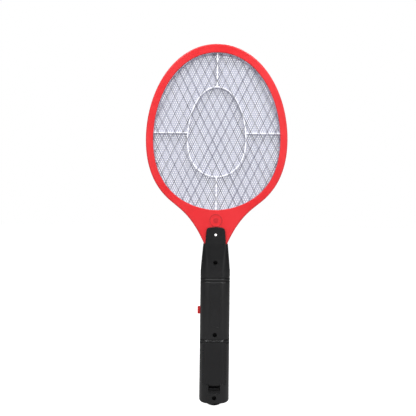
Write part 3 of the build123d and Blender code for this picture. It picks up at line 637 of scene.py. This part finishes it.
def open_the_diamonds(bm, cell, strand, twist):
    """Insets each diamond, tips a whole one about its upright axis, and takes out its middle."""
    whole_area = cell[0] * cell[1] / 2
    small = 0.08 * whole_area
    middles = [f for f in bm.faces if f.calc_area() > small]
    whole = {f for f in middles if f.calc_area() > 0.98 * whole_area}
    bmesh.ops.inset_individual(bm, faces=middles, thickness=strand / 2, use_even_offset=True)
    for face in whole:
        middle = face.calc_center_median()
        for vert in face.verts:
            vert.co.y += twist * (vert.co.x - middle.x) / (cell[0] / 2)
    bmesh.ops.delete(bm, geom=middles, context="FACES")


def give_thickness(bm, low, thickness):
    """Moves the sheet to its rear face and extrudes it forward."""
    bmesh.ops.translate(bm, verts=bm.verts, vec=(0, low, 0))
    made = bmesh.ops.extrude_face_region(bm, geom=bm.faces[:], use_keep_orig=True)
    front = [g for g in made["geom"] if isinstance(g, bmesh.types.BMVert)]
    bmesh.ops.translate(bm, verts=front, vec=(0, thickness, 0))


def solder_tab(bm, across, low, high):
    """The strip that runs down into the neck, where a lead is soldered."""
    size = (tab_width, high.y - low.y, seat_low.z + tab_overlap - low.z)
    middle = (across, (low.y + high.y) / 2, low.z + size[2] / 2)
    made = bmesh.ops.create_cube(bm, size=1.0)
    bmesh.ops.scale(bm, verts=made["verts"], vec=size)
    bmesh.ops.translate(bm, verts=made["verts"], vec=middle)
    edges = list({e for v in made["verts"] for e in v.link_edges})
    bmesh.ops.bevel(
        bm, geom=edges, offset=tab_bevel, offset_type="OFFSET", segments=1, profile=0.5,
        affect="EDGES", material=-1,
    )


def finished(name, bm, material):
    """A mesh object from a bmesh, with its place in its mesh."""
    bmesh.ops.remove_doubles(bm, verts=bm.verts, dist=1e-7)
    bmesh.ops.recalc_face_normals(bm, faces=bm.faces)
    mesh = bpy.data.meshes.new(name)
    bm.to_mesh(mesh)
    bm.free()
    mesh.materials.append(material)
    piece = bpy.data.objects.new(name, mesh)
    bpy.context.scene.collection.objects.link(piece)
    return piece


def expanded_grid(name, node, mesh, material, across):
    """A sheet slit and stretched into diamonds, with twisted strands, held flat at its rim."""
    low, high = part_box(node)
    bm = bmesh.new()
    lattice(bm, mesh["cell"])
    trim_to_seat(bm)
    open_the_diamonds(bm, mesh["cell"], mesh["strand"], mesh["twist"])
    rear = (low.y + high.y) / 2 - mesh["metal"] / 2
    give_thickness(bm, rear, mesh["metal"])
    solder_tab(bm, across, low, high)
    piece = finished(name, bm, material)
    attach(piece, "racket")
    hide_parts(node)


def grids():
    outer = outer_grid_metal()
    for side, across in (("rear", -tab_offset), ("front", tab_offset)):
        node = "outer_grid_" + side
        expanded_grid("expanded_grid_" + side, node, outer_mesh, outer, across)
    inner = center_grid_metal()
    expanded_grid("charged_grid", "center_grid", center_mesh, inner, 0)


# Finishes on the CAD pieces ------------------------------------------------------


def finish_nodes():
    finishes = {
        red_frame_plastic: ["head_frame_rear", "head_frame_front"],
        black_handle_plastic: ["handle_rear_shell", "handle_front_shell"],
        black_door_plastic: ["battery_door"],
        white_spacer_plastic: ["grid_spacer_rear", "grid_spacer_front"],
        red_button_plastic: ["power_button"],
        dark_switch_plastic: ["push_switch_body"],
        plunger_plastic: ["push_switch_plunger"],
        screw_metal: ["case_screws", "board_screws"],
        battery_sleeve: ["battery_cell_left", "battery_cell_right"],
        spring_metal: ["contact_spring_left", "contact_spring_right"],
        contact_metal: ["series_bridge", "positive_plate", "negative_plate"],
        board_laminate: ["circuit_board"],
        ferrite: ["transformer_core"],
        wound_copper: ["transformer_winding"],
        lit_lamp: ["indicator_lamp"],
        tinned_metal: ["lamp_leads"],
        diode_body: ["rectifier_diodes"],
        resistor_body: ["resistors"],
    }
    for finish, nodes in finishes.items():
        paint(finish(), nodes)
    red = wire_insulation("red_insulation", (0.50, 0.012, 0.012, 1), (0.40, 0.01, 0.01, 1), PALE_RED)
    black = wire_insulation("black_insulation", (0.012, 0.012, 0.012, 1), (0.02, 0.02, 0.02, 1), WORN_BLACK)
    paint(red, ["lead_center_grid", "lead_battery_positive"])
    paint(black, ["lead_outer_grid_front", "lead_outer_grid_rear", "lead_battery_negative"])
    paint(dipped_film("capacitor_coat", FILM_GREEN, (0.012, 0.11, 0.045, 1)), ["high_voltage_capacitor"])
    paint(dipped_film("transistor_case", (0.010, 0.010, 0.010, 1), (0.02, 0.02, 0.02, 1)), ["transistor"])


def paint(material, nodes):
    for name in nodes:
        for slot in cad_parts[name].material_slots:
            slot.material = material


# Studio ------------------------------------------------------------------------


def pale_floor():
    bm = bmesh.new()
    bmesh.ops.create_grid(bm, x_segments=4, y_segments=4, size=6.0)
    bmesh.ops.translate(bm, verts=bm.verts, vec=(0, 0, cad_box[0].z - floor_gap))
    material, tree, surface, place = new_finish("pale_floor")
    cloudy = noise(tree, place, 3.0)
    paper = blend(tree, cloudy, (0.42, 0.42, 0.42, 1), (0.45, 0.45, 0.45, 1))
    put(tree, surface.inputs["Base Color"], paper)
    put(tree, surface.inputs["Emission Color"], blend(tree, cloudy, (1, 1, 1, 1), (0.99, 0.99, 0.99, 1)))
    seen = add(tree, "ShaderNodeLightPath").outputs["Is Camera Ray"]
    put(tree, surface.inputs["Emission Strength"], maths(tree, "MULTIPLY", seen, 0.98))
    surface.inputs["Roughness"].default_value = 0.9
    surface.inputs["Specular IOR Level"].default_value = 0.1
    finished("floor", bm, material)


def softbox(name, place, aim, size, watts, mirrored=True):
    """A rectangular light, which glossy surfaces mirror or, as a fill, don't."""
    lamp = bpy.data.lights.new(name, "AREA")
    lamp.shape = "RECTANGLE"
    lamp.size, lamp.size_y = size
    lamp.energy = watts
    light = bpy.data.objects.new(name, lamp)
    light.location = place
    light.rotation_euler = (Vector(aim) - Vector(place)).to_track_quat("-Z", "Y").to_euler()
    light.visible_glossy = mirrored
    bpy.context.scene.collection.objects.link(light)


def white_studio():
    """A surround that is white for the camera and dim otherwise, three fills and six softboxes."""
    world = bpy.data.worlds.new("white_studio")
    world.use_nodes = True
    bpy.context.scene.world = world
    tree = world.node_tree
    tree.nodes.clear()
    seen = add(tree, "ShaderNodeLightPath").outputs["Is Camera Ray"]
    bright = add(tree, "ShaderNodeBackground", {"Color": (1, 1, 1, 1), "Strength": 1.0})
    dim = add(tree, "ShaderNodeBackground", {"Color": (0.97, 0.98, 1, 1), "Strength": 0.16})
    mixed = add(tree, "ShaderNodeMixShader", {0: seen, 1: dim.outputs[0], 2: bright.outputs[0]})
    add(tree, "ShaderNodeOutputWorld", {"Surface": mixed.outputs[0]})
    middle = (0, 0, 0.45 * object_height)
    softbox("left_fill", (-1.0, -1.3, 0.7), middle, (1.2, 1.2), 15.0, mirrored=False)
    softbox("right_fill", (1.1, -1.2, 0.6), middle, (1.2, 1.2), 15.0, mirrored=False)
    softbox("back_fill", (0.3, 1.3, 0.7), middle, (1.2, 1.2), 12.0, mirrored=False)
    softbox("left_high_softbox", (-0.62, -0.55, 1.55), middle, (0.34, 0.34), 12.0)
    softbox("right_high_softbox", (0.52, -0.60, 1.55), middle, (0.34, 0.34), 12.0)
    softbox("front_softbox", (0.0, -1.7, 0.35), middle, (1.5, 1.5), 0.8)
    softbox("left_strip", (-0.66, -1.30, 0.30), middle, (0.12, 1.5), 1.0)
    softbox("right_strip", (0.70, -1.28, 0.30), middle, (0.12, 1.5), 2.2)
    softbox("back_softbox", (0.3, 1.1, 1.3), middle, (0.5, 0.5), 5.0)


def camera():
    """The eye, square to the rear face, a little above mid-height and rolled slightly."""
    made = bpy.data.cameras.new("camera")
    made.sensor_width = 36.0
    made.lens = eye_lens
    eye = bpy.data.objects.new("camera", made)
    eye.location = (eye_side, -eye_distance, eye_share * object_height)
    eye.rotation_euler = (radians(90), eye_roll, 0)
    bpy.context.scene.collection.objects.link(eye)
    bpy.context.scene.camera = eye


def main():
    finish_nodes()
    grids()
    pale_floor()
    white_studio()
    camera()
    bpy.context.scene.view_settings.view_transform = "Standard"


main()
